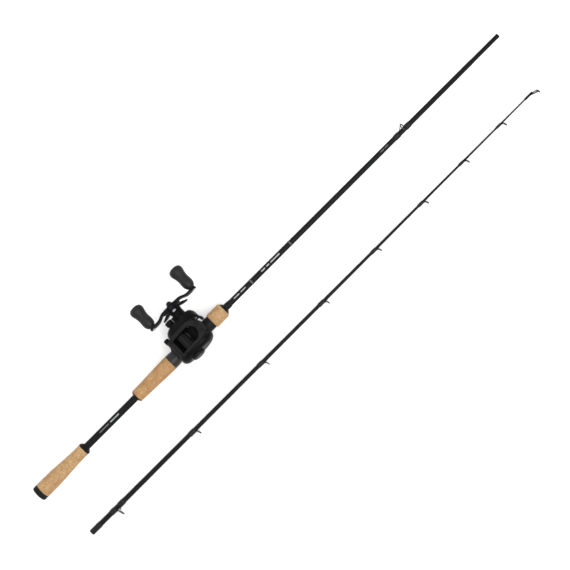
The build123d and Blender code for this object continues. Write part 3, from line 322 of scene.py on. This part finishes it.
def make_materials():
    """A material for each slot of the record, and two more for CLOSER_TONES and the bars."""
    return {
        "graphite_blank": graphite(),
        "cork": cork("cork", PLAIN_TINT),
        "cork_warm": cork("cork_warm", WARM_TINT),
        "black_plastic": coated("black_plastic", PLASTIC, 0.45),
        "seat_plastic": coated("seat_plastic", SEAT, 0.42, 0.3, grain=2200),
        "black_metal": coated("black_metal", METAL, 0.38, 0.07, grain=3600, depth=0.00002),
        "reel_shell": coated("reel_shell", SHELL, 0.36, 0.06, grain=3400, depth=0.00003),
        "reel_frame_paint": coated("reel_frame_paint", DECK, 0.46, 0.08, grain=3400, depth=0.00003),
        "spool_black": coated("spool_black", SPOOL, 0.16, 0.14, grain=4200, depth=0.00001),
        "silver_trim": coated("silver_trim", SILVER, 0.34, 0.5, 0.6, 0.3, 3000, 0.00001, 1.2),
        "ceramic_ring": coated("ceramic_ring", CERAMIC, 0.16, 0.3, 0.0, 0.2, 3000, 0.000005),
        "thread_wrap": thread(),
        "knob_rubber": coated("knob_rubber", KNOB, 0.52, 0.26, grain=2600, depth=0.00005),
        "butt_rubber": coated("butt_rubber", RUBBER, 0.6, grain=2000, depth=0.00006),
        "bright_steel": machined("bright_steel", STEEL, 0.3),
        "gear_brass": machined("gear_brass", BRASS, 0.3),
        "drag_fibre": woven_fibre(),
        "magnet_steel": machined("magnet_steel", MAGNET, 0.28),
        "faint_print": coated("faint_print", PRINT, 0.4, 0.2, grain=3000, depth=0.00001),
    }


def dress_frame(materials):
    """Give every CAD node the material of its slot, and some nodes a closer tone."""
    for part in frame["record"]["subparts"]:
        node = frame["nodes"][part["node"]]
        for slot in node.material_slots:
            slot.material = materials[part["material_slot"]]
    for name, material_name in CLOSER_TONES.items():
        for slot in frame["nodes"][name].material_slots:
            slot.material = materials[material_name]


# ---- printed bars ----
def surface_below(surface, x, y, top):
    """Point of a surface straight below (x, y, top)."""
    return surface.ray_cast(Vector((x, y, top)), Vector((0, 0, -1)))[0]


def printed_bar(name, node_name, body, centre_y, span, width, material):
    """Thin painted bar with round ends, lying on the upper side of a node."""
    node = frame["nodes"][node_name]
    points = [v.co for v in node.data.vertices]
    surface = BVHTree.FromPolygons(points, [p.vertices for p in node.data.polygons])
    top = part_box(node_name)[1][2] + PAINT_DEPTH
    steps = max(BAR_LEAST_STEPS, round((span[1] - span[0]) / BAR_STEP))
    verts = []
    for i in range(steps + 1):
        x = span[0] + (span[1] - span[0]) * i / steps
        from_end = min(x - span[0], span[1] - x, width / 2)
        half = max(width / 20, math.sqrt((width / 2) ** 2 - (width / 2 - from_end) ** 2))
        for j in range(BAR_STRIPS + 1):
            y = centre_y + half * (2 * j / BAR_STRIPS - 1)
            verts.append(surface_below(surface, x, y, top) + Vector((0, 0, PAINT_LIFT)))
    faces = []
    for i in range(steps):
        for j in range(BAR_STRIPS):
            first = i * (BAR_STRIPS + 1) + j
            faces.append((first, first + BAR_STRIPS + 1, first + BAR_STRIPS + 2, first + 1))
    mesh = bpy.data.meshes.new(name)
    mesh.from_pydata(verts, [], faces)
    mesh.materials.append(material)
    bar = bpy.data.objects.new(name, mesh)
    bpy.context.collection.objects.link(bar)
    skin = bar.modifiers.new("paint", "SOLIDIFY")
    skin.thickness = PAINT_DEPTH
    skin.offset = 1
    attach(bar, body)


def add_bars(materials):
    """Plain bars where such a rod carries its printing, and one on the drag star's hub."""
    bright = materials["silver_trim"]
    faint = materials["faint_print"]
    for number, (start, end, width, is_bright) in enumerate(BLANK_BARS, 1):
        material = bright if is_bright else faint
        name = f"blank_bar_{number}"
        printed_bar(name, "butt_blank", "rod_butt", BAR_Y, (start, end), width, material)
    low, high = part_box("drag_star")
    middle = (low[0] + high[0]) / 2
    span = (middle - HUB_BAR_HALF, middle + HUB_BAR_HALF)
    printed_bar("hub_bar", "drag_star", "star", low[1] + HUB_BAR_DEPTH, span, HUB_BAR_WIDTH, bright)


# ---- camera, light and floor ----
def add_camera():
    """Camera looking down at the surface, rolled so the rod points up and to the right."""
    sine, cosine = math.sin(TILT), math.cos(TILT)
    right = Vector((1, -cosine, -sine)).normalized()
    up = Vector((1, cosine, sine)).normalized()
    back = Vector((0, -sine, cosine))
    data = bpy.data.cameras.new("camera")
    data.sensor_width = SENSOR
    data.lens = SENSOR * DISTANCE / PICTURE_WIDTH
    data.clip_end = CLIP_END
    camera = bpy.data.objects.new("camera", data)
    bpy.context.collection.objects.link(camera)
    turn = Matrix((right, up, back)).transposed().to_4x4()
    camera.matrix_world = Matrix.Translation(TARGET + back * DISTANCE) @ turn
    bpy.context.scene.camera = camera


def add_area(name, place, size, power):
    """Soft square light at a place, aimed at LIGHT_AIM."""
    data = bpy.data.lights.new(name, "AREA")
    data.size = size
    data.energy = power
    lamp = bpy.data.objects.new(name, data)
    bpy.context.collection.objects.link(lamp)
    lamp.location = place
    lamp.rotation_euler = (Vector(place) - LIGHT_AIM).to_track_quat("Z", "Y").to_euler()


def add_light():
    """White surroundings, a key light and a weaker fill light."""
    world = bpy.data.worlds.new("studio")
    world.use_nodes = True
    background = world.node_tree.nodes["Background"]
    background.inputs["Color"].default_value = (1, 1, 1, 1)
    background.inputs["Strength"].default_value = WORLD_STRENGTH
    bpy.context.scene.world = world
    add_area("key", *KEY_LIGHT)
    add_area("fill", *FILL_LIGHT)
    bpy.context.scene.view_settings.view_transform = "Standard"


def add_floor():
    """Wide pale surface that the lowest point of the object rests on."""
    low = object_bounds()[0][2]
    mesh = bpy.data.meshes.new("floor")
    corners = [(FLOOR_REACH * x, FLOOR_REACH * y, low) for x, y in ((-1, -1), (1, -1), (1, 1), (-1, 1))]
    mesh.from_pydata(corners, [], [(0, 1, 2, 3)])
    floor = bpy.data.objects.new("floor", mesh)
    bpy.context.collection.objects.link(floor)
    material, tree, shader = new_material("floor", FLOOR, 0.9)
    tone = ramp(tree, noise(tree, object_space(tree), 3, 2), [(0.3, grey(0.89)), (0.7, grey(0.91))])
    tree.links.new(tone, shader.inputs["Base Color"])
    mesh.materials.append(material)


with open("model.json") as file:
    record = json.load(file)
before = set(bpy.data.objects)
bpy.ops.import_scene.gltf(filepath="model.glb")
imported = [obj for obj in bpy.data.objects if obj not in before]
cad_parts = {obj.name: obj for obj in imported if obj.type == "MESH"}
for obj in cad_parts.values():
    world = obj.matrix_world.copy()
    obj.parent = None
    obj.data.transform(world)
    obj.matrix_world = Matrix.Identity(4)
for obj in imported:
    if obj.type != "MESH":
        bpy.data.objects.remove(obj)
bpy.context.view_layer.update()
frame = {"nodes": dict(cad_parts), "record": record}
add_camera()
add_light()
add_floor()
materials = make_materials()
dress_frame(materials)
add_bars(materials)
